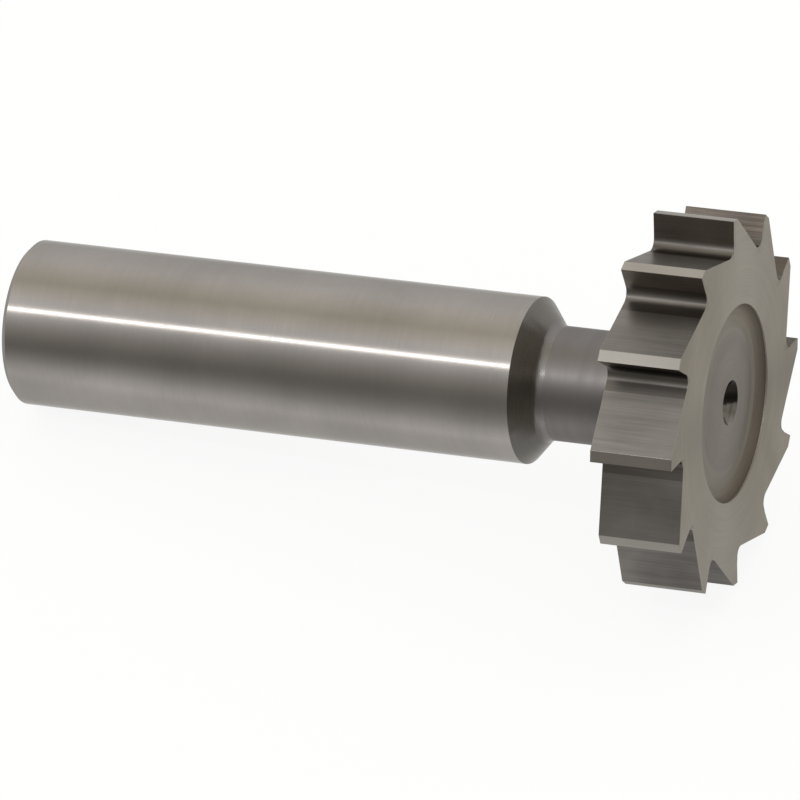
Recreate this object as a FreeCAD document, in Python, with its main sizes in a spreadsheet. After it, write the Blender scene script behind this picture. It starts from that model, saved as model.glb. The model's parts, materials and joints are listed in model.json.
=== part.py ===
import FreeCAD, Part
import math
import os

import Sketcher

# Woodruff keyseat cutter with a straight shank, ground from one bar of high-speed steel.
# The cutter is turned along its own X axis: the shank's end is at x = 0 and the front face
# of the cutting head is at the far end. It is then laid down as it comes to rest on a bench,
# on the back corners of its two lowest teeth and the lower rim of the shank's end.

# Driving sizes in millimetres, angles in degrees. Each one can be set by itself.
SIZES = {
    # Shank: half an inch across, one and five eighths long
    "shank_diameter": 12.7,
    "shank_length": 41.275,
    "shank_end_chamfer": 0.4,
    # Neck: from the shank's shoulder to the back of the head, with the shoulder's cone in it
    "neck_length": 9.525,
    "neck_diameter": 8.7,
    "shoulder_angle": 51,
    "shoulder_fillet": 1.0,
    "neck_root_fillet": 0.45,
    # Cutting head: its width cuts the key's slot, and its sides are ground hollow for clearance
    "cutter_diameter": 28.9,
    "face_width": 6.35,
    "side_dish_angle": 0.5,
    # Relief turned into the front face, deepest at its wall and shallower towards the centre hole
    "recess_diameter": 15.0,
    "recess_depth": 0.9,
    "recess_corner_radius": 0.65,
    "recess_floor_angle": 4.5,
    # Teeth: radial rake face, round gullet, straight back and a narrow relieved land
    "tooth_count": 12,
    "tooth_depth": 2.67,
    "gullet_radius": 0.8,
    "land_width": 0.9,
    "land_relief_angle": 6,
    # Centre holes, by which the cutter is held between centres when it is ground
    "centre_mouth_diameter": 3.4,
    "centre_pilot_diameter": 2.0,
    "centre_pilot_depth": 2.0,
    "centre_angle": 60,
    "pilot_point_angle": 118,
    # What the turned blank is larger than the finished teeth, and how far a cut runs past it
    "grinding_stock": 0.25,
    "cut_overrun": 0.5,
}

# Lengths and places that follow from the driving sizes
SHANK_RADIUS = "(Sizes.shank_diameter / 2)"
NECK_RADIUS = "(Sizes.neck_diameter / 2)"
HEAD_BACK = "(Sizes.shank_length + Sizes.neck_length)"
FRONT_FACE = f"({HEAD_BACK} + Sizes.face_width)"
EDGE_RADIUS = "(Sizes.cutter_diameter / 2)"
BLANK_RADIUS = f"({EDGE_RADIUS} + Sizes.grinding_stock)"
RECESS_RADIUS = "(Sizes.recess_diameter / 2)"
MOUTH_RADIUS = "(Sizes.centre_mouth_diameter / 2)"
MOUTH_DEPTH = f"(Sizes.recess_depth - ({RECESS_RADIUS} - {MOUTH_RADIUS}) * tan(Sizes.recess_floor_angle))"
FACE_CENTRE = f"({FRONT_FACE} - {MOUTH_DEPTH})"

# A fillet is no larger than the wall that it rounds into
SHOULDER_SLANT = f"(({SHANK_RADIUS} - {NECK_RADIUS}) / sin(Sizes.shoulder_angle))"
SHOULDER_FILLET = f"min(Sizes.shoulder_fillet; {SHOULDER_SLANT} / tan(Sizes.shoulder_angle / 2))"
DISH_AT_RECESS = f"(({BLANK_RADIUS} - {RECESS_RADIUS}) * tan(Sizes.side_dish_angle))"
RECESS_WALL = f"(Sizes.recess_depth - {DISH_AT_RECESS})"
RECESS_CORNER = f"min(Sizes.recess_corner_radius; {RECESS_WALL} * tan(45 - Sizes.recess_floor_angle / 2))"

# Tooth gap, drawn with the cutting edge straight above the axis. The heel is where the land of
# the neighbouring tooth ends and its back starts down to the gullet.
PITCH = "(360 / Sizes.tooth_count)"
LAND_SLOPE = f"({PITCH} - Sizes.land_relief_angle)"
HEEL_ASIDE = f"({EDGE_RADIUS} * sin({PITCH}) - Sizes.land_width * cos({LAND_SLOPE}))"
HEEL_HEIGHT = f"({EDGE_RADIUS} * cos({PITCH}) + Sizes.land_width * sin({LAND_SLOPE}))"
GULLET_CENTRE = f"({EDGE_RADIUS} - Sizes.tooth_depth + Sizes.gullet_radius)"

# Rest: the head lies on the straight line from a cutting edge to the heel across the gap
HEEL_DROP = f"({EDGE_RADIUS} - {HEEL_HEIGHT})"
REST_DEPTH = f"({EDGE_RADIUS} * {HEEL_ASIDE} / sqrt({HEEL_ASIDE}^2 + {HEEL_DROP}^2))"
EDGE_FROM_BOTTOM = f"acos({REST_DEPTH} / {EDGE_RADIUS})"
REST_RISE = f"({REST_DEPTH} - {SHANK_RADIUS})"
REST_REACH = f"({HEAD_BACK} - Sizes.shank_end_chamfer)"
REST_TILT = f"atan({REST_RISE} / {REST_REACH})"
END_RADIUS = f"({SHANK_RADIUS} - Sizes.shank_end_chamfer)"
FRONT_REACH = f"({FRONT_FACE} * cos({REST_TILT}) + {REST_DEPTH} * sin({REST_TILT}))"
REST_X = f"({END_RADIUS} * sin({REST_TILT}) - {FRONT_REACH}) / 2"
REST_Z = f"{SHANK_RADIUS} * cos({REST_TILT}) - Sizes.shank_end_chamfer * sin({REST_TILT})"

ORIGIN = (-1, 1)
START, END, CENTRE = 1, 2, 3


def number(owner, formula):
    """Return what a formula comes to, as a plain number."""
    result = owner.evalExpression(formula)
    return float(getattr(result, "Value", result))


def make_sizes(doc):
    """Write the driving sizes into the document's spreadsheet."""
    sheet = doc.addObject("Spreadsheet::Sheet", "Sizes")
    for row, (alias, size) in enumerate(SIZES.items(), start=1):
        sheet.set(f"A{row}", alias)
        sheet.set(f"B{row}", str(size))
        sheet.setAlias(f"B{row}", alias)
    doc.recompute()


def origin_feature(body, role):
    """Find one of the body's own origin planes or axes by its role."""
    return next(item for item in body.Origin.OriginFeatures if item.Role == role)


def new_sketch(body, name, plane):
    """Start a sketch on one of the body's own origin planes."""
    sketch = body.newObject("Sketcher::SketchObject", name)
    sketch.AttachmentSupport = [(origin_feature(body, plane), "")]
    sketch.MapMode = "FlatFace"
    return sketch


def dimension(sketch, name, kind, references, formula):
    """Add a named dimension that follows a formula."""
    start = number(sketch, formula)
    if kind == "Angle":
        start = math.radians(start)
        formula = f"({formula}) * 1 deg"
    index = sketch.addConstraint(Sketcher.Constraint(kind, *references, start))
    sketch.renameConstraint(index, name)
    sketch.setExpression(f"Constraints.{name}", formula)


def rounding(before, corner, after, radius):
    """Return where a round at a corner starts and ends, and its centre."""
    back = (before - corner).normalize()
    ahead = (after - corner).normalize()
    half = back.getAngle(ahead) / 2
    run = radius / math.tan(half)
    centre = corner + (back + ahead).normalize() * (radius / math.sin(half))
    return corner + back * run, corner + ahead * run, centre


def draw_outline(sketch, corners):
    """Draw a closed outline through named corners, each one sharp or rounded by a formula.

    A side has the name of the corner that it starts from. Sides and rounds meet end to end.
    """
    names = list(corners)
    points = [FreeCAD.Vector(*(number(sketch, part) for part in corners[name][:2])) for name in names]
    rounds = {}
    ends = []
    for place, name in enumerate(names):
        here = points[place]
        if len(corners[name]) == 2:
            ends.append((here, here))
            continue
        radius = number(sketch, corners[name][2])
        first, last, centre = rounding(points[place - 1], here, points[(place + 1) % len(points)], radius)
        ends.append((first, last))
        turns_left = (here - first).cross(last - here).z > 0
        from_point, to_point = (first, last) if turns_left else (last, first)
        angles = [math.atan2(end.y - centre.y, end.x - centre.x) for end in (from_point, to_point)]
        circle = Part.Circle(centre, FreeCAD.Vector(0, 0, 1), radius)
        arc = sketch.addGeometry(Part.ArcOfCircle(circle, *angles), False)
        rounds[name] = (arc, START if turns_left else END, END if turns_left else START)
    sides = {}
    for place, name in enumerate(names):
        line = Part.LineSegment(ends[place][1], ends[(place + 1) % len(names)][0])
        sides[name] = sketch.addGeometry(line, False)
    for place, name in enumerate(names):
        arriving = sides[names[place - 1]]
        leaving = sides[name]
        if name in rounds:
            arc, arc_start, arc_end = rounds[name]
            sketch.addConstraint(Sketcher.Constraint("Tangent", arriving, END, arc, arc_start))
            sketch.addConstraint(Sketcher.Constraint("Tangent", arc, arc_end, leaving, START))
            dimension(sketch, f"{name}_round", "Radius", (arc,), corners[name][2])
        else:
            sketch.addConstraint(Sketcher.Constraint("Coincident", arriving, END, leaving, START))
    return sides, {name: arc for name, (arc, _, _) in rounds.items()}


def align(sketch, kind, *sides):
    """Hold sides horizontal or vertical."""
    for side in sides:
        sketch.addConstraint(Sketcher.Constraint(kind, side))


def turn_blank(body):
    """Turn the blank: shank, shoulder, neck, and the head with its hollow sides and recess."""
    sketch = new_sketch(body, "BlankProfile", "XY_Plane")
    neck_start = f"Sizes.shank_length + {SHOULDER_SLANT} * cos(Sizes.shoulder_angle)"
    dish_at_neck = f"({BLANK_RADIUS} - {NECK_RADIUS}) * tan(Sizes.side_dish_angle)"
    corners = {
        "end_face": ("0", "0"),
        "end_chamfer": ("0", END_RADIUS),
        "shank": ("Sizes.shank_end_chamfer", SHANK_RADIUS),
        "shoulder": ("Sizes.shank_length", SHANK_RADIUS),
        "neck": (neck_start, NECK_RADIUS, SHOULDER_FILLET),
        "head_back": (f"{HEAD_BACK} + {dish_at_neck}", NECK_RADIUS, "Sizes.neck_root_fillet"),
        "rim": (HEAD_BACK, BLANK_RADIUS),
        "front": (FRONT_FACE, BLANK_RADIUS),
        "recess_wall": (f"{FRONT_FACE} - {DISH_AT_RECESS}", RECESS_RADIUS),
        "recess_floor": (f"{FRONT_FACE} - Sizes.recess_depth", RECESS_RADIUS, RECESS_CORNER),
        "centre_flat": (FACE_CENTRE, MOUTH_RADIUS),
        "axis": (FACE_CENTRE, "0"),
    }
    side, _ = draw_outline(sketch, corners)
    sketch.addConstraint(Sketcher.Constraint("Coincident", side["end_face"], START, *ORIGIN))
    align(sketch, "Horizontal", side["shank"], side["neck"], side["rim"], side["recess_wall"], side["axis"])
    align(sketch, "Vertical", side["end_face"], side["centre_flat"])
    along = (
        ("chamfer_run", (side["end_chamfer"], START, side["end_chamfer"], END), "Sizes.shank_end_chamfer"),
        ("shank_run", (*ORIGIN, side["shank"], END), "Sizes.shank_length"),
        ("head_back_place", (*ORIGIN, side["rim"], START), HEAD_BACK),
        ("head_width", (side["rim"], START, side["rim"], END), "Sizes.face_width"),
        ("centre_flat_depth", (side["axis"], START, side["rim"], END), MOUTH_DEPTH),
    )
    across = (
        ("chamfer_rise", (side["end_chamfer"], START, side["end_chamfer"], END), "Sizes.shank_end_chamfer"),
        ("shank_radius", (*ORIGIN, side["shank"], START), SHANK_RADIUS),
        ("neck_radius", (*ORIGIN, side["neck"], START), NECK_RADIUS),
        ("blank_radius", (*ORIGIN, side["rim"], START), BLANK_RADIUS),
        ("recess_radius", (*ORIGIN, side["recess_wall"], START), RECESS_RADIUS),
        ("centre_flat_radius", (*ORIGIN, side["centre_flat"], START), MOUTH_RADIUS),
    )
    slopes = (
        ("shoulder_slope", (side["shoulder"],), "-Sizes.shoulder_angle"),
        ("back_dish", (side["head_back"],), "90 + Sizes.side_dish_angle"),
        ("front_dish", (side["front"],), "-90 - Sizes.side_dish_angle"),
        ("recess_slope", (side["recess_floor"],), "-90 + Sizes.recess_floor_angle"),
    )
    for kind, group in (("DistanceX", along), ("DistanceY", across), ("Angle", slopes)):
        for name, references, formula in group:
            dimension(sketch, name, kind, references, formula)
    blank = body.newObject("PartDesign::Revolution", "Blank")
    blank.Profile = sketch
    blank.ReferenceAxis = (sketch, ["H_Axis"])
    blank.Angle = 360
    return blank


def drill_centre(body, name, mouth, inward):
    """Drill a centre hole: a cone for the centre's point and a pilot hole beyond it."""
    sketch = new_sketch(body, f"{name}Profile", "XY_Plane")
    pilot_radius = "(Sizes.centre_pilot_diameter / 2)"
    cone_run = f"(({MOUTH_RADIUS} - {pilot_radius}) / tan(Sizes.centre_angle / 2))"
    point_run = f"({pilot_radius} / tan(Sizes.pilot_point_angle / 2))"
    pilot_end = f"({cone_run} + Sizes.centre_pilot_depth)"
    corners = {
        "mouth": (mouth, "0"),
        "cone": (mouth, MOUTH_RADIUS),
        "pilot": (f"{mouth} + {inward} * {cone_run}", pilot_radius),
        "point": (f"{mouth} + {inward} * {pilot_end}", pilot_radius),
        "axis": (f"{mouth} + {inward} * ({pilot_end} + {point_run})", "0"),
    }
    side, _ = draw_outline(sketch, corners)
    align(sketch, "Horizontal", side["pilot"])
    align(sketch, "Vertical", side["mouth"])
    sketch.addConstraint(Sketcher.Constraint("PointOnObject", side["axis"], START, -1))
    if mouth == "0":
        sketch.addConstraint(Sketcher.Constraint("Coincident", side["mouth"], START, *ORIGIN))
    else:
        sketch.addConstraint(Sketcher.Constraint("PointOnObject", side["mouth"], START, -1))
        dimension(sketch, "mouth_place", "DistanceX", (*ORIGIN, side["mouth"], START), mouth)
    for part, run in (("cone", cone_run), ("pilot", "Sizes.centre_pilot_depth"), ("point", point_run)):
        near, far = (START, END) if inward > 0 else (END, START)
        dimension(sketch, f"{part}_run", "DistanceX", (side[part], near, side[part], far), run)
    dimension(sketch, "mouth_radius", "DistanceY", (*ORIGIN, side["cone"], START), MOUTH_RADIUS)
    dimension(sketch, "pilot_radius", "DistanceY", (*ORIGIN, side["pilot"], START), pilot_radius)
    hole = body.newObject("PartDesign::Groove", name)
    hole.Profile = sketch
    hole.ReferenceAxis = (sketch, ["H_Axis"])
    hole.Angle = 360
    return hole


def mill_tooth_gap(body):
    """Mill one gap between two teeth, which leaves a rake face, a gullet, a back and a land."""
    sketch = new_sketch(body, "ToothGapProfile", "YZ_Plane")
    sketch.AttachmentOffset = FreeCAD.Placement(
        FreeCAD.Vector(0, 0, number(sketch, FRONT_FACE)),
        FreeCAD.Rotation(FreeCAD.Vector(0, 0, 1), 180 - number(sketch, EDGE_FROM_BOTTOM)),
    )
    sketch.setExpression("AttachmentOffset.Base.z", f"{FRONT_FACE} + Sizes.cut_overrun")
    sketch.setExpression("AttachmentOffset.Rotation.Angle", f"180 deg - {EDGE_FROM_BOTTOM}")
    # The land's line runs on past the neighbour's cutting edge until it is clear of the blank
    sine = "sin(Sizes.land_relief_angle)"
    cosine = "cos(Sizes.land_relief_angle)"
    edge_to_blank = f"(sqrt({BLANK_RADIUS}^2 - ({EDGE_RADIUS} * {cosine})^2) - {EDGE_RADIUS} * {sine})"
    land_line = f"(Sizes.land_width + {edge_to_blank} + Sizes.cut_overrun)"
    clear_height = f"({BLANK_RADIUS} + Sizes.cut_overrun)"
    clear_aside = f"({HEEL_ASIDE} + {land_line} * cos({LAND_SLOPE}))"
    back_slope = f"(({HEEL_HEIGHT} - {GULLET_CENTRE} + Sizes.gullet_radius) / {HEEL_ASIDE})"
    corners = {
        "rake": ("0", f"{HEEL_HEIGHT} - {HEEL_ASIDE} * {back_slope}", "Sizes.gullet_radius"),
        "top": ("0", clear_height),
        "outside": (f"-{clear_aside}", clear_height),
        "land": (f"-{clear_aside}", f"{HEEL_HEIGHT} - {land_line} * sin({LAND_SLOPE})"),
        "back": (f"-{HEEL_ASIDE}", HEEL_HEIGHT),
    }
    side, rounds = draw_outline(sketch, corners)
    sketch.addConstraint(Sketcher.Constraint("PointOnObject", side["rake"], END, -2))
    align(sketch, "Vertical", side["rake"], side["outside"])
    align(sketch, "Horizontal", side["top"])
    heel = (side["back"], START)
    dimension(sketch, "clear_height", "DistanceY", (*ORIGIN, side["top"], START), clear_height)
    dimension(sketch, "heel_aside", "DistanceX", (*heel, *ORIGIN), HEEL_ASIDE)
    dimension(sketch, "heel_height", "DistanceY", (*ORIGIN, *heel), HEEL_HEIGHT)
    dimension(sketch, "land_slope", "Angle", (side["land"],), LAND_SLOPE)
    dimension(sketch, "land_line", "Distance", (side["land"],), land_line)
    dimension(sketch, "gullet_height", "DistanceY", (*ORIGIN, rounds["rake"], CENTRE), GULLET_CENTRE)
    gap = body.newObject("PartDesign::Pocket", "ToothGap")
    gap.Profile = sketch
    gap.Type = "Length"
    gap.setExpression("Length", "Sizes.face_width + 2 * Sizes.cut_overrun")
    return gap


def repeat_tooth_gap(body, gap):
    """Repeat the gap around the cutter's axis, once for each tooth."""
    teeth = body.newObject("PartDesign::PolarPattern", "Teeth")
    teeth.Originals = [gap]
    teeth.Axis = (origin_feature(body, "X_Axis"), [""])
    teeth.Angle = 360
    teeth.setExpression("Occurrences", "Sizes.tooth_count")
    body.Tip = teeth
    return teeth


def lay_down(body):
    """Tip the cutter to its rest, with its origin on the bench below the middle of its outline."""
    backwards = FreeCAD.Vector(0, -1, 0)
    turn = FreeCAD.Rotation(backwards, number(body, REST_TILT))
    body.Placement = FreeCAD.Placement(FreeCAD.Vector(), turn)
    body.setExpression("Placement.Rotation.Angle", REST_TILT)
    body.setExpression("Placement.Base.x", REST_X)
    body.setExpression("Placement.Base.z", REST_Z)


def check(doc, body, steps):
    """Stop if an object has failed, a sketch is loose, or a cut has taken nothing away."""
    for item in doc.Objects:
        if "Invalid" in item.State or "Error" in item.State:
            raise RuntimeError(f"{item.Name} has failed: {item.State}")
        if item.TypeId == "Sketcher::SketchObject" and not item.FullyConstrained:
            raise RuntimeError(f"{item.Name} is not fully constrained")
    for before, after in zip(steps, steps[1:]):
        if after.Shape.Volume >= before.Shape.Volume:
            raise RuntimeError(f"{after.Name} cuts nothing")
    shape = body.Shape
    if shape.isNull() or not shape.isValid() or len(shape.Solids) != 1:
        raise RuntimeError(f"{body.Label} is not one valid solid")


def main():
    doc = FreeCAD.newDocument("keyseat_cutter")
    make_sizes(doc)
    body = doc.addObject("PartDesign::Body", "KeyseatCutter")
    body.Label = "keyseat_cutter"
    steps = [turn_blank(body)]
    steps.append(drill_centre(body, "FaceCentre", FACE_CENTRE, -1))
    steps.append(drill_centre(body, "ShankCentre", "0", 1))
    gap = mill_tooth_gap(body)
    steps.append(gap)
    doc.recompute()
    steps.append(repeat_tooth_gap(body, gap))
    lay_down(body)
    doc.recompute()
    check(doc, body, steps)

    os.makedirs("parts", exist_ok=True)
    body.Shape.exportStep(f"parts/{body.Label}.step")
    box = body.Shape.optimalBoundingBox()
    print(f"{body.Label}: {body.Shape.Volume:.1f} mm3, {len(body.Shape.Faces)} faces")
    print(f"x {box.XMin:.3f} to {box.XMax:.3f}, y {box.YMin:.3f} to {box.YMax:.3f}, "
          f"z {box.ZMin:.3f} to {box.ZMax:.3f}, tilt {number(body, REST_TILT):.3f} degrees")


main()
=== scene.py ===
# %% [markdown]
# A woodruff keyseat cutter: a small milling cutter ground from one bar of high-speed steel.
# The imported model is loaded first. It fixes where everything is, so what follows adds only
# looks: a finely rounded skin over the solid, the ground surfaces, and a studio to see it in.

# %% Load the frame
import json
import math
import bmesh
import bpy
from mathutils import Matrix, Vector


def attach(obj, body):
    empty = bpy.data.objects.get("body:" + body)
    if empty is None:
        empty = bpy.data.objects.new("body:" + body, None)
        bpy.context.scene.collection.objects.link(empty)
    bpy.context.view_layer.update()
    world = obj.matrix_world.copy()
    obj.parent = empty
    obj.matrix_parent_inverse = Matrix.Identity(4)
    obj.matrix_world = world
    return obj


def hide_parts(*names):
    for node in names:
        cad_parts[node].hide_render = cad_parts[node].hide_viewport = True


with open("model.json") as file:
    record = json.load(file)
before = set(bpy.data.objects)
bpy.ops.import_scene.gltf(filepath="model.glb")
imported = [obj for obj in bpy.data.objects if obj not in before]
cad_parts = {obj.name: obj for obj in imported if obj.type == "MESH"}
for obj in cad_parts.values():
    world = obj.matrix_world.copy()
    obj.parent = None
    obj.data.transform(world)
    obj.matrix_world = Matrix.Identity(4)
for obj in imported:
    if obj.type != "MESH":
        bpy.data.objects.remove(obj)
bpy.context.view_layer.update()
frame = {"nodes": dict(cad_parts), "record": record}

# %% [markdown]
# The sizes are those of the real cutter, in metres. The shank's radius and slant come from the
# frame, where the shank is the mount that a collet grips. The rest are the driving sizes of the
# cutter, from which every other place is worked out. They could be read off the solid's mesh,
# but a named size says what it is, and a change of one of them changes the right thing.

# %% Sizes of the shank
MM = 0.001
SHANK = next(mount for mount in frame["record"]["mounts"] if mount["name"] == "shank")
SHANK_RADIUS = SHANK["dims"]["r_mm"] * MM
GRIP_LENGTH = SHANK["dims"]["length_mm"] * MM
END_CHAMFER = 0.4 * MM
SHANK_LENGTH = GRIP_LENGTH + END_CHAMFER
print("Shank in mm: radius", round(SHANK_RADIUS / MM, 3), "length", round(SHANK_LENGTH / MM, 3))

# %% Sizes of the shoulder and the neck
SHOULDER_ANGLE = math.radians(51)
SHOULDER_FILLET = 1.0 * MM
NECK_LENGTH = 9.525 * MM
NECK_RADIUS = 4.35 * MM
ROOT_FILLET = 0.45 * MM
HEAD_BACK = SHANK_LENGTH + NECK_LENGTH
print("Back of the head at mm:", round(HEAD_BACK / MM, 3))

# %% Sizes of the head and its teeth
FACE_WIDTH = 6.35 * MM
CUTTER_RADIUS = 14.45 * MM
DISH_ANGLE = math.radians(0.5)
GRINDING_STOCK = 0.25 * MM
TEETH = 12
TOOTH_DEPTH = 2.67 * MM
GULLET_RADIUS = 0.8 * MM
LAND_WIDTH = 0.9 * MM
LAND_RELIEF = math.radians(6)
FRONT_FACE = HEAD_BACK + FACE_WIDTH
print("Overall length in mm:", round(FRONT_FACE / MM, 3))

# %% Sizes of the front recess and the centre holes
RECESS_RADIUS = 7.5 * MM
RECESS_DEPTH = 0.9 * MM
RECESS_CORNER = 0.65 * MM
RECESS_FLOOR_ANGLE = math.radians(4.5)
CENTRE_MOUTH_RADIUS = 1.7 * MM
CENTRE_PILOT_RADIUS = 1.0 * MM
CENTRE_PILOT_DEPTH = 2.0 * MM
CENTRE_HALF_ANGLE = math.radians(30)
PILOT_HALF_ANGLE = math.radians(59)
recess_floor = FRONT_FACE - RECESS_DEPTH
print("Recess floor, at its wall, at mm:", round(recess_floor / MM, 3))

# %% [markdown]
# The cutter is worked out along its own X axis, with the shank's end at 0, and then laid down
# by one matrix. The same placing is undone inside the materials, so that the grinding marks can
# be measured from the cutter's axis: a wheel leaves its marks around it, whichever way it lies.

# %% How the cutter lies
axis = -Vector(SHANK["axis"]).normalized()
tilt = math.atan2(axis.z, axis.x)
grip_middle = Vector(SHANK["pos_m"])
shank_end = grip_middle - axis * (END_CHAMFER + GRIP_LENGTH / 2)
LAID_DOWN = Matrix.Translation(shank_end) @ Matrix.Rotation(-tilt, 4, "Y")
print("Axis rises by", round(math.degrees(tilt), 2), "degrees")

# %% [markdown]
# One gap between two teeth repeats around the head. Seen from the front with a cutting edge
# straight up, the outline goes down the radial rake face, round the gullet, up the straight
# back of the next tooth to its heel, and along the narrow relieved land to its cutting edge.
# A bevel modifier could soften the edges, but it would also cut the flat lands short. Here each
# corner gets its own round as the outline is drawn: a few hundredths of a millimetre, as on a
# real ground tooth, which is what lets an edge catch the light.

# %% A round at a corner
def rounded_corner(before, corner, after, radius, steps):
    """Points on a round of that radius at a corner between two straight lines."""
    back = (before - corner).normalized()
    ahead = (after - corner).normalized()
    half = back.angle(ahead) / 2
    centre = corner + (back + ahead).normalized() * (radius / math.sin(half))
    run = radius / math.tan(half)
    start = corner + back * run - centre
    turn = start.angle_signed(corner + ahead * run - centre)
    points = []
    for step in range(steps + 1):
        angle = -turn * step / steps
        cosine, sine = math.cos(angle), math.sin(angle)
        turned = Vector((start.x * cosine - start.y * sine, start.x * sine + start.y * cosine))
        points.append(centre + turned)
    return points


sample = rounded_corner(Vector((0, 1)), Vector((0, 0)), Vector((1, 0)), 0.1, 4)
print("A square corner, rounded:", [(round(p.x, 3), round(p.y, 3)) for p in sample])

# %% The corners of one gap
pitch = 2 * math.pi / TEETH
land_slope = pitch - LAND_RELIEF
edge = Vector((0, CUTTER_RADIUS))
next_edge = Vector((-math.sin(pitch), math.cos(pitch))) * CUTTER_RADIUS
heel = next_edge + Vector((math.cos(land_slope), math.sin(land_slope))) * LAND_WIDTH
land_before = Vector((math.cos(-LAND_RELIEF), math.sin(-LAND_RELIEF))) * LAND_WIDTH
print("Heel of the next tooth at mm:", [round(v / MM, 3) for v in heel])

# %% The gullet
# The tooth's back is the line from the heel that just touches the gullet's circle.
GULLET_STEPS = 12
gullet_centre = Vector((-GULLET_RADIUS, CUTTER_RADIUS - TOOTH_DEPTH + GULLET_RADIUS))
to_heel = heel - gullet_centre
touch_angle = math.atan2(to_heel.y, to_heel.x) + math.acos(GULLET_RADIUS / to_heel.length)
touch = gullet_centre + Vector((math.cos(touch_angle), math.sin(touch_angle))) * GULLET_RADIUS
gullet = []
for step in range(GULLET_STEPS + 1):
    angle = step / GULLET_STEPS * (touch_angle - 2 * math.pi)
    gullet.append(gullet_centre + Vector((math.cos(angle), math.sin(angle))) * GULLET_RADIUS)
print("The gullet turns by", round(360 - math.degrees(touch_angle), 1), "degrees")


# %% One pitch of the tooth outline
def straight(start, end, steps):
    """Points inside a straight line, without its ends."""
    return [start.lerp(end, step / steps) for step in range(1, steps)]


EDGE_ROUND = 0.03 * MM
HEEL_ROUND = 0.06 * MM
ROUND_STEPS = 3
RAKE_STEPS = 5
BACK_STEPS = 7
LAND_STEPS = 3
edge_round = rounded_corner(edge + land_before, edge, gullet[0], EDGE_ROUND, ROUND_STEPS)
heel_round = rounded_corner(touch, heel, next_edge, HEEL_ROUND, ROUND_STEPS)
next_round_start = Matrix.Rotation(pitch, 2) @ edge_round[0]

one_pitch = []
for name, points in (
    ("edge", edge_round),
    ("rake", straight(edge_round[-1], gullet[0], RAKE_STEPS)),
    ("gullet", gullet),
    ("back", straight(gullet[-1], heel_round[0], BACK_STEPS)),
    ("heel", heel_round),
    ("land", straight(heel_round[-1], next_round_start, LAND_STEPS)),
):
    one_pitch += [(name, point) for point in points]
print("Points in one pitch:", len(one_pitch))

# %% [markdown]
# The head rests on the straight line from one cutting edge to the heel across the gap, so the
# whole outline is turned until that line is at the bottom. This is the same rule that the
# solid follows, and it is what puts each tooth where the photograph has it.

# %% The whole outline, turned to its rest
rest_depth = CUTTER_RADIUS * -heel.x / math.hypot(heel.x, CUTTER_RADIUS - heel.y)
phase = math.pi - math.acos(rest_depth / CUTTER_RADIUS)
outline = []
outline_parts = []
for tooth in range(TEETH):
    turn = Matrix.Rotation(phase + tooth * pitch, 2)
    for name, point in one_pitch:
        outline.append(turn @ point)
        outline_parts.append(name)
COUNT = len(outline)
print("Points in the whole outline:", COUNT)

# %% [markdown]
# The skin is one net of rings, from the bottom of the front centre hole, over the front face,
# along the teeth, down the back of the head, along the neck and the shank, and into the centre
# hole in the shank's end. Every ring has as many points as the tooth outline, so quads join
# them all and the surface closes without a seam. A lathe profile would do for the shank alone,
# but the net lets the toothed head grow out of the round neck as it does on the real cutter.

# %% Round rings
# Round rings have their points at even steps. They are turned as a whole so that, on average,
# they stand opposite the points of the tooth outline, and the quads between stay straight.
first_angle = math.atan2(outline[0].y, outline[0].x)
lags = []
for place, point in enumerate(outline):
    even = 2 * math.pi * place / COUNT
    own = (math.atan2(point.y, point.x) - first_angle) % (2 * math.pi)
    lags.append((own - even + math.pi) % (2 * math.pi) - math.pi)
mean_lag = sum(lags) / COUNT
ring_angles = [first_angle + mean_lag + 2 * math.pi * place / COUNT for place in range(COUNT)]


def round_ring(x, radius):
    """A ring around the axis at x."""
    return [Vector((x, radius * math.cos(a), radius * math.sin(a))) for a in ring_angles]


print("Round rings are turned by", round(math.degrees(mean_lag), 2), "degrees")


# %% Rings on the head
def inward_normals(points):
    """For each point of the outline, the direction into the steel."""
    normals = []
    for place, point in enumerate(points):
        along = (points[(place + 1) % len(points)] - point).normalized()
        along += (point - points[place - 1]).normalized()
        normals.append(Vector((-along.y, along.x)).normalized())
    return normals


def dished(radius):
    """How far a side of the head lies inside its rim at that radius."""
    return (CUTTER_RADIUS + GRINDING_STOCK - radius) * math.tan(DISH_ANGLE)


def side_place(radius, side, depth=0.0):
    """Where a side of the head lies along the axis at that radius, or a little below it."""
    if side == "front":
        return FRONT_FACE - dished(radius) - depth
    return HEAD_BACK + dished(radius) + depth


outline_normals = inward_normals(outline)


def tooth_ring(inset, depth, side):
    """The tooth outline, moved into the steel by inset, at a depth below one side of the head."""
    ring = []
    for point, normal in zip(outline, outline_normals):
        moved = point + normal * inset
        ring.append(Vector((side_place(moved.length, side, depth), moved.x, moved.y)))
    return ring


print("The sides are hollow at the neck by mm:", round(dished(NECK_RADIUS) / MM, 3))

# %% [markdown]
# The turned parts follow a short profile of corners, each with the radius that it is rounded
# to. Even a sharp-looking corner gets a round of three to five hundredths of a millimetre.

# %% Profiles of turned parts
SOFT = 0.05 * MM
CRISP = 0.03 * MM


def profile(corners):
    """Rounded profile through corners of (x, radius, round, steps, line region, round region).

    The first region is that of the straight line that leads to the corner, and the second is
    that of the corner's own round.
    """
    points = []
    for place in range(1, len(corners) - 1):
        before, corner, after = (Vector(c[:2]) for c in corners[place - 1:place + 2])
        rounding, steps, line_region, round_region = corners[place][2:]
        first, *others = rounded_corner(before, corner, after, rounding, steps)
        points.append((first.x, first.y, line_region))
        points += [(p.x, p.y, round_region) for p in others]
    return points


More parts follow.
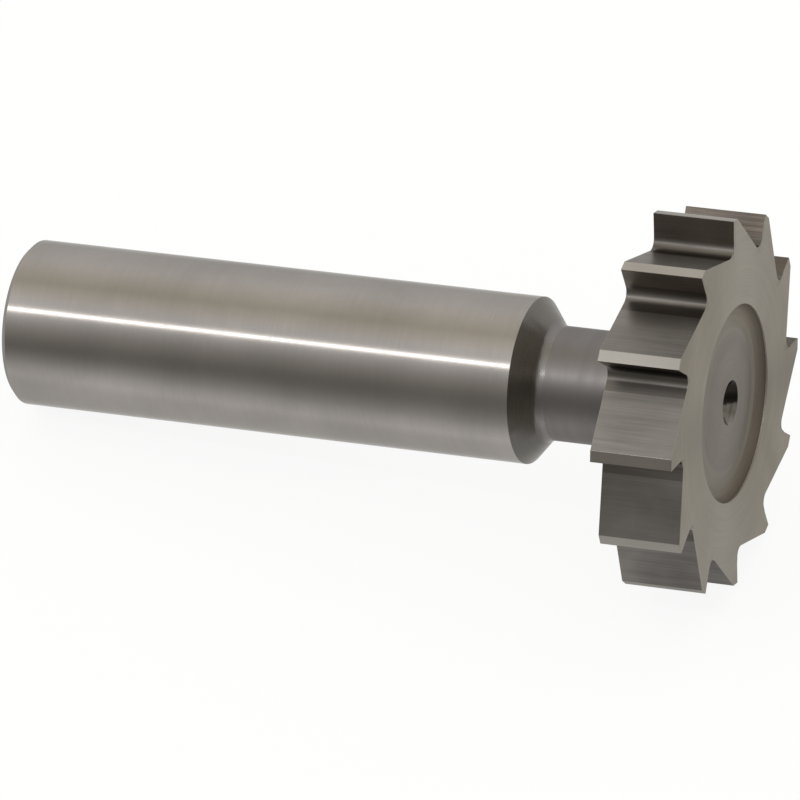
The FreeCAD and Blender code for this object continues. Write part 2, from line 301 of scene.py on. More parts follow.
def centre_hole(mouth, inward, to_mouth):
    """Corners of a centre hole, from the point of its pilot to its mouth."""
    cone_end = mouth + inward * centre_cone
    pilot_end = cone_end + inward * CENTRE_PILOT_DEPTH
    return [
        (pilot_end + inward * pilot_point, 0, CRISP, 2, "hole", "hole"),
        (pilot_end, CENTRE_PILOT_RADIUS, SOFT, 2, "hole", "hole"),
        (cone_end, CENTRE_PILOT_RADIUS, SOFT, 2, "hole", "hole"),
        (mouth, CENTRE_MOUTH_RADIUS, SOFT, 3, to_mouth, "hole"),
    ]


centre_cone = (CENTRE_MOUTH_RADIUS - CENTRE_PILOT_RADIUS) / math.tan(CENTRE_HALF_ANGLE)
pilot_point = CENTRE_PILOT_RADIUS / math.tan(PILOT_HALF_ANGLE)
print("A centre hole's cone is", round(centre_cone / MM, 3), "mm deep")

# %% Profile of the front, from the centre hole to the face
WEB_RADIUS = 11.0 * MM
mouth_plane = recess_floor + (RECESS_RADIUS - CENTRE_MOUTH_RADIUS) * math.tan(RECESS_FLOOR_ANGLE)
front_hole = centre_hole(mouth_plane, -1, "hole")
front_profile = profile(
    front_hole
    + [
        (recess_floor, RECESS_RADIUS, RECESS_CORNER, 10, "recess", "corner"),
        (side_place(RECESS_RADIUS, "front"), RECESS_RADIUS, SOFT, 4, "wall", "face"),
        (side_place(WEB_RADIUS, "front"), WEB_RADIUS, 0, 0, "face", "face"),
    ]
)
print("Points in the front profile:", len(front_profile))

# %% Profile of the neck and the shank, down to the end's centre hole
neck_start = SHANK_LENGTH + (SHANK_RADIUS - NECK_RADIUS) / math.tan(SHOULDER_ANGLE)
end_hole = centre_hole(0, 1, "end")
back_profile = profile(
    [
        (side_place(WEB_RADIUS, "back"), WEB_RADIUS, 0, 0, "face", "face"),
        (side_place(NECK_RADIUS, "back"), NECK_RADIUS, ROOT_FILLET, 8, "face", "neck"),
        (neck_start, NECK_RADIUS, SHOULDER_FILLET, 12, "neck", "fillet"),
        (SHANK_LENGTH, SHANK_RADIUS, SOFT, 4, "shoulder", "shoulder"),
        (END_CHAMFER, SHANK_RADIUS, CRISP, 3, "shank", "shank"),
        (0, SHANK_RADIUS - END_CHAMFER, CRISP, 3, "end", "end"),
    ]
    + end_hole[::-1]
)
print("Points in the back profile:", len(back_profile))

# %% Rings of the whole skin
FRONT_RINGS = (8.6 * MM, 9.8 * MM, 11.0 * MM)
BACK_RINGS = (11.0 * MM, 9.0 * MM, 7.0 * MM)
SIDE_ROUND = 0.025 * MM
SIDE_STEPS = 3
quarter = [step / SIDE_STEPS * math.pi / 2 for step in range(SIDE_STEPS + 1)]


def side_edge(a, side):
    """One ring of the round between a side of the head and the teeth."""
    return tooth_ring(SIDE_ROUND * (1 - math.sin(a)), SIDE_ROUND * (1 - math.cos(a)), side)


rings = [(round_ring(x, radius), region) for x, radius, region in front_profile]
rings += [(round_ring(side_place(radius, "front"), radius), "face") for radius in FRONT_RINGS]
rings += [(side_edge(a, "front"), "face") for a in quarter]
rings += [(side_edge(quarter[-1], "back"), "tooth")]
rings += [(side_edge(a, "back"), "face") for a in reversed(quarter[:-1])]
rings += [(round_ring(side_place(radius, "back"), radius), "face") for radius in BACK_RINGS]
rings += [(round_ring(x, radius), region) for x, radius, region in back_profile]
print("Rings:", len(rings), "- points:", len(rings) * COUNT)

# %% [markdown]
# Each band of quads between two rings belongs to a region of the cutter: shank, shoulder and
# its fillet, neck, side of the head, recess with its corner and wall, centre hole, or end. On
# the teeth the band is split by the part of the outline it runs along, because the rake faces,
# gullets, backs and lands were each ground by a different wheel and show it.

# %% Build the skin
REGIONS = (
    "shank", "shoulder", "fillet", "neck", "face", "recess", "corner", "wall", "hole", "end",
    "rake", "gullet", "back", "land",
)
TOOTH_REGION = {
    "edge": "rake", "rake": "rake", "gullet": "gullet", "back": "back", "heel": "land", "land": "land",
}


def build_skin():
    """Join the rings into one closed mesh, with a material index for each region."""
    mesh = bpy.data.meshes.new("keyseat_cutter_skin")
    bm = bmesh.new()
    grid = [[bm.verts.new(LAID_DOWN @ point) for point in ring] for ring, _ in rings]
    for row in range(len(grid) - 1):
        region = rings[row + 1][1]
        for column in range(COUNT):
            after = (column + 1) % COUNT
            corners = (grid[row][column], grid[row][after], grid[row + 1][after], grid[row + 1][column])
            face = bm.faces.new(corners)
            name = TOOTH_REGION[outline_parts[column]] if region == "tooth" else region
            face.material_index = REGIONS.index(name)
    for ring, hole in ((grid[0], front_hole), (grid[-1], end_hole)):
        middle = bm.verts.new(LAID_DOWN @ Vector((hole[0][0], 0, 0)))
        for column in range(COUNT):
            face = bm.faces.new((ring[column], ring[(column + 1) % COUNT], middle))
            face.material_index = REGIONS.index("hole")
    bmesh.ops.recalc_face_normals(bm, faces=bm.faces)
    for face in bm.faces:
        face.smooth = True
    bm.to_mesh(mesh)
    bm.free()
    return mesh


cutter = bpy.data.objects.new("keyseat_cutter_skin", build_skin())
bpy.context.scene.collection.objects.link(cutter)
print("Faces in the skin:", len(cutter.data.polygons))

# %% [markdown]
# Smooth shading bends the light over a flat face that meets a round. Weighting the normals by
# the size of the faces keeps the wide ones flat, and leaves the bend to the narrow rounds.

# %% Flat faces stay flat
AREA_WEIGHT = 100
weigh = cutter.modifiers.new("flat faces stay flat", "WEIGHTED_NORMAL")
weigh.mode = "FACE_AREA"
weigh.weight = AREA_WEIGHT
print("Modifier:", weigh.name)

# %% [markdown]
# Ground steel is never one flat grey. A wheel leaves fine marks along its path, and oil, hands
# and the wheel's own dressing leave slow changes of tone. Both effects are node groups, built
# once and placed in each material with its own values. The marks group takes the cutter's own
# coordinates and measures along the axis, out from it and around it, so that the marks can be
# rings on the shank and on the head's sides, and straight lines along the teeth.

# %% Node helpers
def socket(group, name, direction, kind, value=None):
    """Add one named socket to a node group."""
    item = group.interface.new_socket(name=name, in_out=direction, socket_type=kind)
    if value is not None:
        item.default_value = value
    return item


def node(tree, kind, place, **settings):
    """Add a node, with its settings."""
    made = tree.nodes.new(kind)
    made.location = place
    for name, setting in settings.items():
        setattr(made, name, setting)
    return made


def feed(tree, slot, value):
    """Give a socket a plain value, or link it to the output that feeds it."""
    if isinstance(value, bpy.types.NodeSocket):
        tree.links.new(value, slot)
    else:
        slot.default_value = value


def maths(tree, operation, place, *values):
    """Add a maths node. Each value is a number or the output that feeds it."""
    made = node(tree, "ShaderNodeMath", place, operation=operation)
    for slot, value in zip(made.inputs, values):
        feed(tree, slot, value)
    return made.outputs[0]


def remap(tree, place, value, source, target=(0.0, 1.0), kind="LINEAR"):
    """Add a Map Range node from one range to another, and give back its result."""
    made = node(tree, "ShaderNodeMapRange", place, interpolation_type=kind)
    feed(tree, made.inputs["Value"], value)
    for name, number in zip(("From Min", "From Max", "To Min", "To Max"), (*source, *target)):
        made.inputs[name].default_value = number
    return made.outputs["Result"]


print("Node helpers:", ", ".join(f.__name__ for f in (socket, node, feed, maths, remap)))

# %% Node group: marks left by the wheel or the tool
FINE_DETAIL = 4.0
FINE_ROUGHNESS = 0.65
COARSE_SCALE = 0.22
COARSE_DETAIL = 2.0


def make_marks_group():
    """Marks whose density is set along the axis, outwards and around."""
    group = bpy.data.node_groups.new("grinding marks", "ShaderNodeTree")
    socket(group, "Coordinates", "INPUT", "NodeSocketVector")
    for name in ("Along", "Outward", "Around"):
        socket(group, name, "INPUT", "NodeSocketFloat", 1.0)
    socket(group, "Unevenness", "INPUT", "NodeSocketFloat", 0.5)
    socket(group, "Marks", "OUTPUT", "NodeSocketFloat")
    given = node(group, "NodeGroupInput", (-900, 0))
    apart = node(group, "ShaderNodeSeparateXYZ", (-700, 0))
    group.links.new(given.outputs["Coordinates"], apart.inputs[0])
    x, y, z = apart.outputs
    y_squared = maths(group, "MULTIPLY", (-550, -60), y, y)
    z_squared = maths(group, "MULTIPLY", (-550, -200), z, z)
    radius = maths(group, "SQRT", (-250, -100), maths(group, "ADD", (-400, -100), y_squared, z_squared))
    angle = maths(group, "ARCTAN2", (-400, -300), z, y)
    spread = node(group, "ShaderNodeCombineXYZ", (0, 0))
    for row, (value, name) in enumerate(((x, "Along"), (radius, "Outward"), (angle, "Around"))):
        scaled = maths(group, "MULTIPLY", (-150, 100 - 150 * row), value, given.outputs[name])
        group.links.new(scaled, spread.inputs[row])
    fine = node(group, "ShaderNodeTexNoise", (200, 100))
    fine.inputs["Scale"].default_value = 1.0
    fine.inputs["Detail"].default_value = FINE_DETAIL
    fine.inputs["Roughness"].default_value = FINE_ROUGHNESS
    group.links.new(spread.outputs[0], fine.inputs["Vector"])
    coarse = node(group, "ShaderNodeTexNoise", (200, -150))
    coarse.inputs["Scale"].default_value = COARSE_SCALE
    coarse.inputs["Detail"].default_value = COARSE_DETAIL
    group.links.new(spread.outputs[0], coarse.inputs["Vector"])
    blend = node(group, "ShaderNodeMix", (420, 0), data_type="FLOAT")
    group.links.new(given.outputs["Unevenness"], blend.inputs["Factor"])
    group.links.new(fine.outputs["Fac"], blend.inputs["A"])
    group.links.new(coarse.outputs["Fac"], blend.inputs["B"])
    out = node(group, "NodeGroupOutput", (620, 0))
    group.links.new(blend.outputs["Result"], out.inputs["Marks"])
    return group


marks_group = make_marks_group()
print("Node group:", marks_group.name, "- nodes:", len(marks_group.nodes))

# %% Node group: slow changes of tone
NOISE_RANGE = (0.3, 0.7)
PATCH_DETAIL = 3.0
PATCH_DISTORTION = 0.6


def make_patches_group():
    """Soft patches, from 0 to 1, as thin oil and handling leave on bare steel."""
    group = bpy.data.node_groups.new("soft patches", "ShaderNodeTree")
    socket(group, "Coordinates", "INPUT", "NodeSocketVector")
    socket(group, "Density", "INPUT", "NodeSocketFloat", 120.0)
    socket(group, "Patches", "OUTPUT", "NodeSocketFloat")
    given = node(group, "NodeGroupInput", (-500, 0))
    large = node(group, "ShaderNodeTexNoise", (-250, 0))
    large.inputs["Detail"].default_value = PATCH_DETAIL
    large.inputs["Distortion"].default_value = PATCH_DISTORTION
    group.links.new(given.outputs["Coordinates"], large.inputs["Vector"])
    group.links.new(given.outputs["Density"], large.inputs["Scale"])
    level = remap(group, (0, 0), large.outputs["Fac"], NOISE_RANGE)
    out = node(group, "NodeGroupOutput", (250, 0))
    group.links.new(level, out.inputs["Patches"])
    return group


patches_group = make_patches_group()
print("Node group:", patches_group.name, "- nodes:", len(patches_group.nodes))

# %% [markdown]
# Two places differ inside one surface, and both carry painted light and shade. The centre hole
# is painted dark above, as painted shade where its wall faces down, and keeps the drilled
# steel's tone below. The recess floor is painted paler beside its corner, as painted light that
# stands in for a reflection of the wall, and it is duller there too. The corner is painted darker
# towards its wall, as painted shade. These are masks over the cutter's own height and radius,
# because painting them by hand would not follow a new size.

# %% Masks over one surface
DARK_EDGE = 0.2 * MM
ACROSS_THE_AXIS = (0, 1, 1)


def above(tree, place, height):
    """A mask that goes from 0 to 1 at a height above the axis, over a short passage."""
    apart = node(tree, "ShaderNodeSeparateXYZ", (-850, 500))
    tree.links.new(place, apart.inputs[0])
    return remap(tree, (-650, 500), apart.outputs["Z"], (height - DARK_EDGE, height + DARK_EDGE))


def gain_outwards(tree, place, start, end, gain):
    """A factor that goes from 1 to a gain between two distances from the axis."""
    flat = node(tree, "ShaderNodeVectorMath", (-700, 750), operation="MULTIPLY")
    tree.links.new(place, flat.inputs[0])
    flat.inputs[1].default_value = ACROSS_THE_AXIS
    radius = node(tree, "ShaderNodeVectorMath", (-500, 750), operation="LENGTH")
    tree.links.new(flat.outputs["Vector"], radius.inputs[0])
    return remap(tree, (-350, 650), radius.outputs["Value"], (start, end), (1.0, gain))


print("The centre hole's dark edge is", round(2 * DARK_EDGE / MM, 2), "mm wide")

# %% [markdown]
# One function makes every steel finish from its two tones, its roughness and its marks. The
# metal's highlight is stretched across the marks, as on any ground surface: along the shank,
# and outwards on the sides of the head, where it opens into the fans that the photograph shows.
# The way of the marks is worked out at each point, as the cross product of the cutter's axis
# and the way out from it, so it needs no UV map and is exact on every face.

# %% One steel finish
PATCHES_PER_METRE = 110.0
EDGE_TINT = (0.75, 0.74, 0.72, 1)
ACROSS_THE_MARKS = 0.25


def follow_the_marks(tree, shader, scene_place):
    """Lead the way of the marks, around the axis, to the shader's tangent."""
    outward = node(tree, "ShaderNodeVectorMath", (-700, -500), operation="SUBTRACT")
    tree.links.new(scene_place, outward.inputs[0])
    outward.inputs[1].default_value = shank_end
    around = node(tree, "ShaderNodeVectorMath", (-500, -500), operation="CROSS_PRODUCT")
    around.inputs[0].default_value = axis
    tree.links.new(outward.outputs[0], around.inputs[1])
    tree.links.new(around.outputs[0], shader.inputs["Tangent"])


def steel(
    name, tones, roughness, marks, relief, stretch=0.0, streaks=0.9,
    painted_shade_above=None, painted_light_and_shade=None, roughness_outwards=None,
):
    """A bare steel finish.

    tones are its two colours, roughness its range, marks the densities along, outward and
    around with their unevenness, relief the height of the marks in metres, stretch how far
    the highlight is drawn out across them, and streaks how clearly they show in the tone.
    Above the height painted_shade_above, measured from the axis, only the second tone is left, as painted
    shade.
    painted_light_and_shade holds two radii and a factor: the tone goes from its own level at the first
    radius to that factor times it at the second, as painted light where the factor is above 1 and
    painted shade where it is below. roughness_outwards does so for the roughness.
    """
    material = bpy.data.materials.new(name)
    material.use_nodes = True
    tree = material.node_tree
    shader = tree.nodes["Principled BSDF"]
    shader.inputs["Metallic"].default_value = 1.0
    shader.inputs["Anisotropic"].default_value = stretch
    shader.inputs["Anisotropic Rotation"].default_value = ACROSS_THE_MARKS
    shader.inputs["Specular Tint"].default_value = EDGE_TINT

    # Undo how the cutter lies, so that X runs along its axis
    scene_place = node(tree, "ShaderNodeTexCoord", (-1300, 0)).outputs["Object"]
    own_place = node(tree, "ShaderNodeMapping", (-1100, 0), vector_type="TEXTURE")
    own_place.inputs["Location"].default_value = LAID_DOWN.translation
    own_place.inputs["Rotation"].default_value = LAID_DOWN.to_euler()
    tree.links.new(scene_place, own_place.inputs["Vector"])
    place = own_place.outputs["Vector"]

    patches = node(tree, "ShaderNodeGroup", (-850, 200), node_tree=patches_group)
    patches.inputs["Density"].default_value = PATCHES_PER_METRE
    tree.links.new(place, patches.inputs["Coordinates"])
    lines = node(tree, "ShaderNodeGroup", (-850, -100), node_tree=marks_group)
    tree.links.new(place, lines.inputs["Coordinates"])
    for slot, value in zip(("Along", "Outward", "Around", "Unevenness"), marks):
        lines.inputs[slot].default_value = value

    weight = maths(tree, "MULTIPLY_ADD", (-700, 300), lines.outputs["Marks"], streaks, -streaks / 2)
    mixed = maths(tree, "ADD", (-600, 250), patches.outputs["Patches"], weight)
    # Painted shade: above that height only the second, dark tone is left
    if painted_shade_above is not None:
        mixed = maths(tree, "ADD", (-580, 350), mixed, above(tree, place, painted_shade_above))
    clamped = node(tree, "ShaderNodeClamp", (-560, 150))
    tree.links.new(mixed, clamped.inputs["Value"])
    tone = node(tree, "ShaderNodeMix", (-500, 250), data_type="RGBA")
    tone.inputs["A"].default_value = (*tones[0], 1)
    tone.inputs["B"].default_value = (*tones[1], 1)
    tree.links.new(clamped.outputs[0], tone.inputs["Factor"])
    colour = tone.outputs["Result"]
    # Painted light and shade: the tone is scaled by a factor that changes outwards
    if painted_light_and_shade:
        scaled = node(tree, "ShaderNodeVectorMath", (-200, 400), operation="SCALE")
        tree.links.new(colour, scaled.inputs[0])
        tree.links.new(gain_outwards(tree, place, *painted_light_and_shade), scaled.inputs["Scale"])
        colour = scaled.outputs["Vector"]
    tree.links.new(colour, shader.inputs["Base Color"])

    gloss = remap(tree, (-500, -50), lines.outputs["Marks"], NOISE_RANGE, roughness)
    if roughness_outwards:
        gloss = maths(tree, "MULTIPLY", (-300, -50), gloss, gain_outwards(tree, place, *roughness_outwards))
    tree.links.new(gloss, shader.inputs["Roughness"])
    if stretch:
        follow_the_marks(tree, shader, scene_place)
    bump = node(tree, "ShaderNodeBump", (-300, -300))
    bump.inputs["Distance"].default_value = relief
    bump.inputs["Strength"].default_value = 1.0
    tree.links.new(lines.outputs["Marks"], bump.inputs["Height"])
    tree.links.new(bump.outputs["Normal"], shader.inputs["Normal"])
    return material


# %% [markdown]
# The finishes, region by region. Ground surfaces are fine and bright: the shank, the sides of
# the head and the lands. Turned ones are coarser: the shoulder, the neck, the recess and the
# shank's end. The marks of both run around the axis, and those of the teeth run along them.
# Bare steel is one metal everywhere, so one material could do for all, but the wheel and the
# tool leave each region its own tone, and a named finish for each is easy to find and change.

# %% Finishes of the shank, the shoulder and the neck
# Marks: how dense they are along the axis, outwards and around it, and how uneven.
RINGS = (9000, 9000, 1.5, 0.35)
TURNED = (5000, 5000, 1.0, 0.5)
MICRON = 1e-6
finishes = {
    "shank": steel(
        "ground shank", ((0.335, 0.313, 0.293), (0.281, 0.263, 0.246)), (0.15, 0.24), RINGS,
        relief=0.8 * MICRON, stretch=0.6, streaks=1.0,
    ),
    "shoulder": steel(
        "turned shoulder", ((0.20, 0.19, 0.175), (0.16, 0.15, 0.14)), (0.24, 0.34), TURNED,
        relief=2 * MICRON, stretch=0.4,
    ),
    "fillet": steel(
        "turned fillet", ((0.205, 0.194, 0.186), (0.165, 0.156, 0.15)), (0.22, 0.30), TURNED,
        relief=0.8 * MICRON,
    ),
    "neck": steel(
        "turned neck", ((0.199, 0.188, 0.182), (0.172, 0.162, 0.157)), (0.40, 0.50), TURNED,
        relief=1.2 * MICRON, stretch=0.4,
    ),
    "end": steel(
        "turned end", ((0.30, 0.285, 0.265), (0.25, 0.235, 0.22)), (0.26, 0.38), TURNED,
        relief=2 * MICRON, stretch=0.6,
    ),
}
print("Finishes of the shank's side:", ", ".join(finishes))

# %% Finishes of the head's sides, the recess and the centre holes
# The recess floor is painted paler towards its corner: painted light that stands in for a reflection of the
# wall
FLOOR_PAINTED_LIGHT = (5.1 * MM, 6.6 * MM, 1.7)
FLOOR_ROUGHNESS_OUTWARDS = (5.5 * MM, 6.7 * MM, 2.2)
# The corner is painted darker towards its wall: painted shade
CORNER_PAINTED_SHADE = (6.85 * MM, 7.35 * MM, 0.68)
# Height above the axis from which the centre hole is painted dark: painted shade where its wall faces down
PAINTED_SHADE_ABOVE = -0.75 * MM
finishes |= {
    "face": steel(
        "ground side", ((0.344, 0.315, 0.267), (0.283, 0.261, 0.221)), (0.34, 0.42), RINGS,
        relief=0.8 * MICRON, stretch=0.95, streaks=1.2,
    ),
    "recess": steel(
        "turned recess", ((0.195, 0.177, 0.15), (0.165, 0.151, 0.128)), (0.28, 0.38), TURNED,
        relief=1.5 * MICRON, stretch=0.3,
        painted_light_and_shade=FLOOR_PAINTED_LIGHT, roughness_outwards=FLOOR_ROUGHNESS_OUTWARDS,
    ),
    "corner": steel(
        "turned corner", ((0.335, 0.296, 0.248), (0.282, 0.250, 0.210)), (0.65, 0.75), TURNED,
        relief=1.5 * MICRON, painted_light_and_shade=CORNER_PAINTED_SHADE,
    ),
    "wall": steel(
        "turned wall", ((0.56, 0.51, 0.45), (0.48, 0.44, 0.39)), (0.40, 0.52), TURNED,
        relief=1.5 * MICRON,
    ),
    # The near-black second tone fills the upper part of the hole as painted shade, and streaks the rest
    "hole": steel(
        "drilled centre", ((0.33, 0.307, 0.275), (0.022, 0.019, 0.016)), (0.18, 0.32), TURNED,
        relief=3 * MICRON, streaks=1.4, painted_shade_above=PAINTED_SHADE_ABOVE,
    ),
}
print("Finishes so far:", len(finishes))

# %% Finishes of the teeth
# On the teeth the marks are drawn out along the axis, so they are dense only outwards and around.
ALONG_TEETH = (180, 7000, 90, 0.4)
finishes |= {
    "rake": steel(
        "rake faces", ((0.15, 0.13, 0.11), (0.07, 0.06, 0.051)), (0.30, 0.42), ALONG_TEETH,
        relief=1 * MICRON, streaks=1.6,
    ),
    "gullet": steel(
        "gullets", ((0.155, 0.142, 0.128), (0.085, 0.078, 0.07)), (0.28, 0.40), ALONG_TEETH,
        relief=1 * MICRON, streaks=1.6,
    ),
    "back": steel(
        "tooth backs", ((0.225, 0.211, 0.195), (0.13, 0.121, 0.112)), (0.32, 0.44), ALONG_TEETH,
        relief=1.5 * MICRON, streaks=1.6,
    ),
    "land": steel(
        "lands", ((0.37, 0.346, 0.314), (0.28, 0.262, 0.238)), (0.18, 0.26), ALONG_TEETH,
        relief=0.5 * MICRON, streaks=1.2,
    ),
}
print("Finishes in all:", ", ".join(material.name for material in finishes.values()))

# %% Put the finishes on the skin
for region in REGIONS:
    cutter.data.materials.append(finishes[region])
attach(cutter, "root")
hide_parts("keyseat_cutter")
print("Materials on the skin:", len(cutter.data.materials))

# %% [markdown]
# The solid stays in the model for collision, and it gets the shank's finish so that it is
# never a bare grey, even where it is hidden.

# %% Dress the solid below the skin
solid = frame["nodes"]["keyseat_cutter"]
solid.data.materials.clear()
solid.data.materials.append(finishes["shank"])
print("The solid wears:", solid.data.materials[0].name)

# %% [markdown]
# Studio. Bright metal shows its surroundings more than its own colour, so the surroundings are
# what give the shank its bands. A photographer's white table falls into shade on the camera's
# side, and the room behind the camera is dark, so a bright cylinder shows one soft dark band at
# the height of that horizon. The table here does the same: it is white to the camera, keeps the
# cutter's soft shadow, and in reflections it fades towards the near side and lies in the
# shade of the head below it. Lamps with black flags between them could do this too, but levels
# by direction are quicker to match, and they leave no shape of a lamp on the metal.

# %% A level that changes step by step
GREEN_PER_BLUE = 0.3


def level_ramp(tree, place, levels, strength=1.0):
    """A colour ramp through (position, level, warmth), from 0 to 1. Warmth takes blue away."""
    ramp = node(tree, "ShaderNodeValToRGB", place)
    for spot, _, _ in levels[1:-1]:
        ramp.color_ramp.elements.new(spot)
    for item, (spot, level, warmth) in zip(ramp.color_ramp.elements, levels):
        item.position = spot
        tint = (1, 1 - GREEN_PER_BLUE * warmth, 1 - warmth)
        item.color = [strength * level * share for share in tint] + [1]
    return ramp


# %% Levels of the table
TABLE_RADIUS = 3.0
TABLE_SEGMENTS = 96
TABLE_COLOUR = (0.90, 0.90, 0.89, 1)
TABLE_ROUGHNESS = 0.9
TABLE_TO_CAMERA = 1.015
TABLE_TO_METAL = 0.90
SHADOW_SHARE = 0.12
SHADE_REACH = 0.15
TABLE_SHADE = (
    (0.0, 1.0, 0.0), (0.06, 1.02, 0.0), (0.08, 1.16, 0.0), (0.1, 1.03, 0.0), (0.115, 0.93, 0.0),
    (0.155, 0.68, 0.01), (0.22, 0.52, 0.03), (0.35, 0.40, 0.06), (0.6, 0.37, 0.08), (1.0, 0.36, 0.08),
)
UNDER_HEAD = (0.0235, -0.003, 0)
HEAD_SHADE_SIZE = (0.009, 0.0165, 1)
HEAD_SHADE_EDGE = (0.5, 1.0)
HEAD_SHADE_LEVEL = 0.68
print("The table fades from", TABLE_SHADE[0][1], "to", TABLE_SHADE[-1][1], "within", SHADE_REACH, "m")


# %% Table
def table_in_metal(tree):
    """The table as reflections show it: shaded near the camera, and under the head."""
    spot = node(tree, "ShaderNodeTexCoord", (-1000, -300)).outputs["Object"]
    apart = node(tree, "ShaderNodeSeparateXYZ", (-800, -300))
    tree.links.new(spot, apart.inputs[0])
    nearness = maths(tree, "DIVIDE", (-600, -300), apart.outputs["Y"], -SHADE_REACH)
    fade = level_ramp(tree, (-400, -300), TABLE_SHADE, TABLE_TO_METAL)
    tree.links.new(nearness, fade.inputs[0])
    from_head = node(tree, "ShaderNodeMapping", (-800, -550), vector_type="TEXTURE")
    from_head.inputs["Location"].default_value = UNDER_HEAD
    from_head.inputs["Scale"].default_value = HEAD_SHADE_SIZE
    tree.links.new(spot, from_head.inputs["Vector"])
    away = node(tree, "ShaderNodeVectorMath", (-600, -550), operation="LENGTH")
    tree.links.new(from_head.outputs["Vector"], away.inputs[0])
    levels = (HEAD_SHADE_LEVEL, 1.0)
    shade = remap(tree, (-400, -550), away.outputs["Value"], HEAD_SHADE_EDGE, levels, "SMOOTHSTEP")
    reflected = node(tree, "ShaderNodeEmission", (-100, -300))
    tree.links.new(fade.outputs[0], reflected.inputs["Color"])
    tree.links.new(shade, reflected.inputs["Strength"])
    return reflected.outputs[0]


def table_material():
    """White to the camera, with a share of real shadow, and another level to the metal."""
    material = bpy.data.materials.new("white table")
    material.use_nodes = True
    tree = material.node_tree
    shader = tree.nodes["Principled BSDF"]
    shader.inputs["Base Color"].default_value = TABLE_COLOUR
    shader.inputs["Roughness"].default_value = TABLE_ROUGHNESS
    shader.inputs["Specular IOR Level"].default_value = 0.0
    seen = node(tree, "ShaderNodeEmission", (-100, -100))
    seen.inputs["Color"].default_value = (1, 1, 1, 1)
    seen.inputs["Strength"].default_value = TABLE_TO_CAMERA
    ray = node(tree, "ShaderNodeLightPath", (-600, 300))
    share = maths(tree, "MULTIPLY", (-200, 300), ray.outputs["Is Camera Ray"], 1 - SHADOW_SHARE)
    to_camera = node(tree, "ShaderNodeMixShader", (200, 100))
    tree.links.new(share, to_camera.inputs[0])
    tree.links.new(shader.outputs[0], to_camera.inputs[1])
    tree.links.new(seen.outputs[0], to_camera.inputs[2])
    to_metal = node(tree, "ShaderNodeMixShader", (400, 0))
    tree.links.new(ray.outputs["Is Glossy Ray"], to_metal.inputs[0])
    tree.links.new(to_camera.outputs[0], to_metal.inputs[1])
    tree.links.new(table_in_metal(tree), to_metal.inputs[2])
    tree.links.new(to_metal.outputs[0], tree.nodes["Material Output"].inputs["Surface"])
    return material


def make_table():
    """A round white table, large enough to have no edge in any view."""
    mesh = bpy.data.meshes.new("table")
    bm = bmesh.new()
    bmesh.ops.create_circle(bm, cap_ends=True, segments=TABLE_SEGMENTS, radius=TABLE_RADIUS)
    bm.to_mesh(mesh)
    bm.free()
    table = bpy.data.objects.new("table", mesh)
    bpy.context.scene.collection.objects.link(table)
    table.data.materials.append(table_material())
    return table


print("Table:", make_table().name, "- radius in metres:", TABLE_RADIUS)

# %% [markdown]
# The sky is a pale dome around the cutter. Its level depends only on the height above the near
# horizon, measured over the top to the far horizon: dark at the near one, full above it, and
# overhead a little lower and warmer, as a ceiling is, before the white wall behind. The side
# that the head faces is darker than the table. The face's circular marks draw its reflection
# out from the middle, so it is brightest where that line stays on the table: in two fans.

# %% Levels of the sky
SKY = (
    (0.0, 0.34, 0.08), (0.025, 0.35, 0.08), (0.078, 0.46, 0.08), (0.133, 0.60, 0.05), (0.19, 0.83, 0.01),
    (0.25, 1.10, 0.0), (0.355, 1.19, 0.01), (0.41, 1.12, 0.09), (0.467, 1.0, 0.145), (0.52, 0.86, 0.175),
    (0.578, 0.94, 0.16), (0.633, 1.01, 0.115), (0.70, 1.08, 0.065), (0.78, 1.09, 0.035), (0.87, 1.03, 0.015),
    (1.0, 0.96, 0.0),
)
SIDE_RANGE = (0.1, 1.0)
SIDE_LEVEL = 0.55
print("Sky levels:", len(SKY), "- near horizon", SKY[0][1], "- far horizon", SKY[-1][1])


# %% Sky
def make_sky():
    """A pale dome with a dark near horizon, white to the camera."""
    world = bpy.data.worlds.new("studio dome")
    bpy.context.scene.world = world
    world.use_nodes = True
    tree = world.node_tree
    dome = tree.nodes["Background"]
    apart = node(tree, "ShaderNodeSeparateXYZ", (-1000, 0))
    tree.links.new(node(tree, "ShaderNodeTexCoord", (-1200, 0)).outputs["Generated"], apart.inputs[0])
    toward = maths(tree, "MULTIPLY", (-800, -100), apart.outputs["Y"], -1)
    angle = maths(tree, "ARCTAN2", (-600, 0), apart.outputs["Z"], toward)
    turn = maths(tree, "DIVIDE", (-450, 0), angle, math.pi)
    ramp = level_ramp(tree, (-250, 0), SKY)
    tree.links.new(turn, ramp.inputs[0])
    tree.links.new(ramp.outputs[0], dome.inputs["Color"])
    side = remap(tree, (-250, 250), apart.outputs["X"], SIDE_RANGE, (1.0, SIDE_LEVEL))
    tree.links.new(side, dome.inputs["Strength"])
    plain = node(tree, "ShaderNodeBackground", (0, -200))
    plain.inputs["Color"].default_value = (1, 1, 1, 1)
    ray = node(tree, "ShaderNodeLightPath", (0, 300))
    mix = node(tree, "ShaderNodeMixShader", (250, 0))
    tree.links.new(ray.outputs["Is Camera Ray"], mix.inputs[0])
    tree.links.new(dome.outputs[0], mix.inputs[1])
    tree.links.new(plain.outputs[0], mix.inputs[2])
    tree.links.new(mix.outputs[0], tree.nodes["World Output"].inputs["Surface"])
    return world


print("World:", make_sky().name)

# %% [markdown]
# The thin bright line along the shank is the mirror image of a long narrow lamp. A stripe could
# be painted into the sky, but a real lamp also lights the edges it grazes and gives the cutter
# a shadow side. It hangs where the camera's line of sight is mirrored by the shank, at the
# height where the photograph shows the line, with its long side along the cutter.

# %% Strip lamp
CUTTER_MIDDLE = Vector((0, 0, 0.012))
LINE_ANGLE = math.radians(50.5)
MIRRORED_ALONG = -0.343
STRIP_DISTANCE = 0.7
STRIP_SIZE = (1.2, 0.036)
STRIP_RADIANCE = 7.5


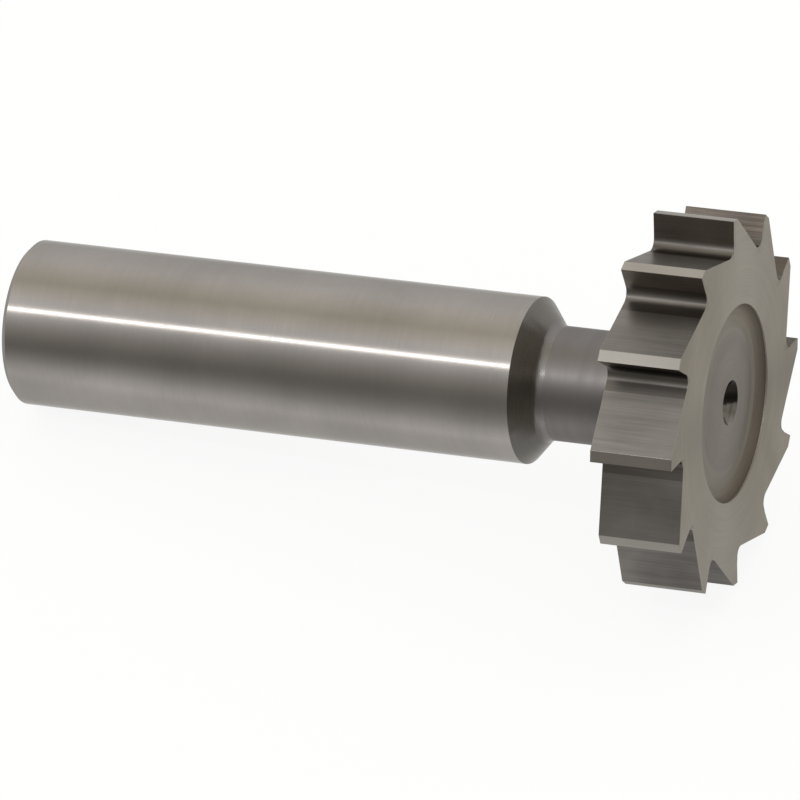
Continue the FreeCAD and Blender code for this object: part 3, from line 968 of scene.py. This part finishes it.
def make_lamp(name, direction, long_way, distance, size, radiance):
    """A rectangular lamp that faces the cutter, with its longer side along a given way."""
    light = bpy.data.lights.new(name, "AREA")
    light.shape = "RECTANGLE"
    light.size, light.size_y = size
    light.energy = radiance * math.pi * size[0] * size[1]
    lamp = bpy.data.objects.new(name, light)
    bpy.context.scene.collection.objects.link(lamp)
    back = direction.normalized()
    side = (long_way - back * long_way.dot(back)).normalized()
    facing = Matrix((side, back.cross(side), back)).transposed().to_4x4()
    lamp.matrix_world = Matrix.Translation(CUTTER_MIDDLE + back * distance) @ facing
    return lamp


upright = Vector((-math.sin(tilt), 0, math.cos(tilt)))
across = upright * math.sin(LINE_ANGLE) - Vector((0, math.cos(LINE_ANGLE), 0))
line_way = across * math.sqrt(1 - MIRRORED_ALONG**2) + axis * MIRRORED_ALONG
strip = make_lamp("strip lamp", line_way, axis, STRIP_DISTANCE, STRIP_SIZE, STRIP_RADIANCE)
print("Strip lamp at metres:", [round(v, 3) for v in strip.matrix_world.translation])

# %% [markdown]
# The camera stands where the photograph's did: a long lens from some two thirds of a metre, a
# little round towards the front of the head, looking down at 37 degrees with a slight roll.
# Its place was worked out from sizes that are known in the photograph, and is written down as
# it came, because a lens and a distance can trade places and only together give the view.

# %% Camera
CAMERA_PLACE = Vector((0.169804, -0.497775, 0.404888))
CAMERA_LOOK = Vector((-0.255901, 0.755435, -0.603186))
CAMERA_ROLL = math.radians(2.4101)
CAMERA_LENS = 390.555
SENSOR_WIDTH = 36
CLIP_START = 0.05


def make_camera():
    """The camera at the photograph's place, roll and lens."""
    data = bpy.data.cameras.new("camera")
    data.lens = CAMERA_LENS
    data.sensor_width = SENSOR_WIDTH
    data.clip_start = CLIP_START
    camera = bpy.data.objects.new("camera", data)
    bpy.context.scene.collection.objects.link(camera)
    level = CAMERA_LOOK.to_track_quat("-Z", "Y").to_matrix()
    turned = (level @ Matrix.Rotation(CAMERA_ROLL, 3, "Z")).to_4x4()
    camera.matrix_world = Matrix.Translation(CAMERA_PLACE) @ turned
    return camera


bpy.context.scene.camera = make_camera()
bpy.context.scene.view_settings.view_transform = "Standard"
print("Camera distance in metres:", round(CAMERA_PLACE.length, 3))
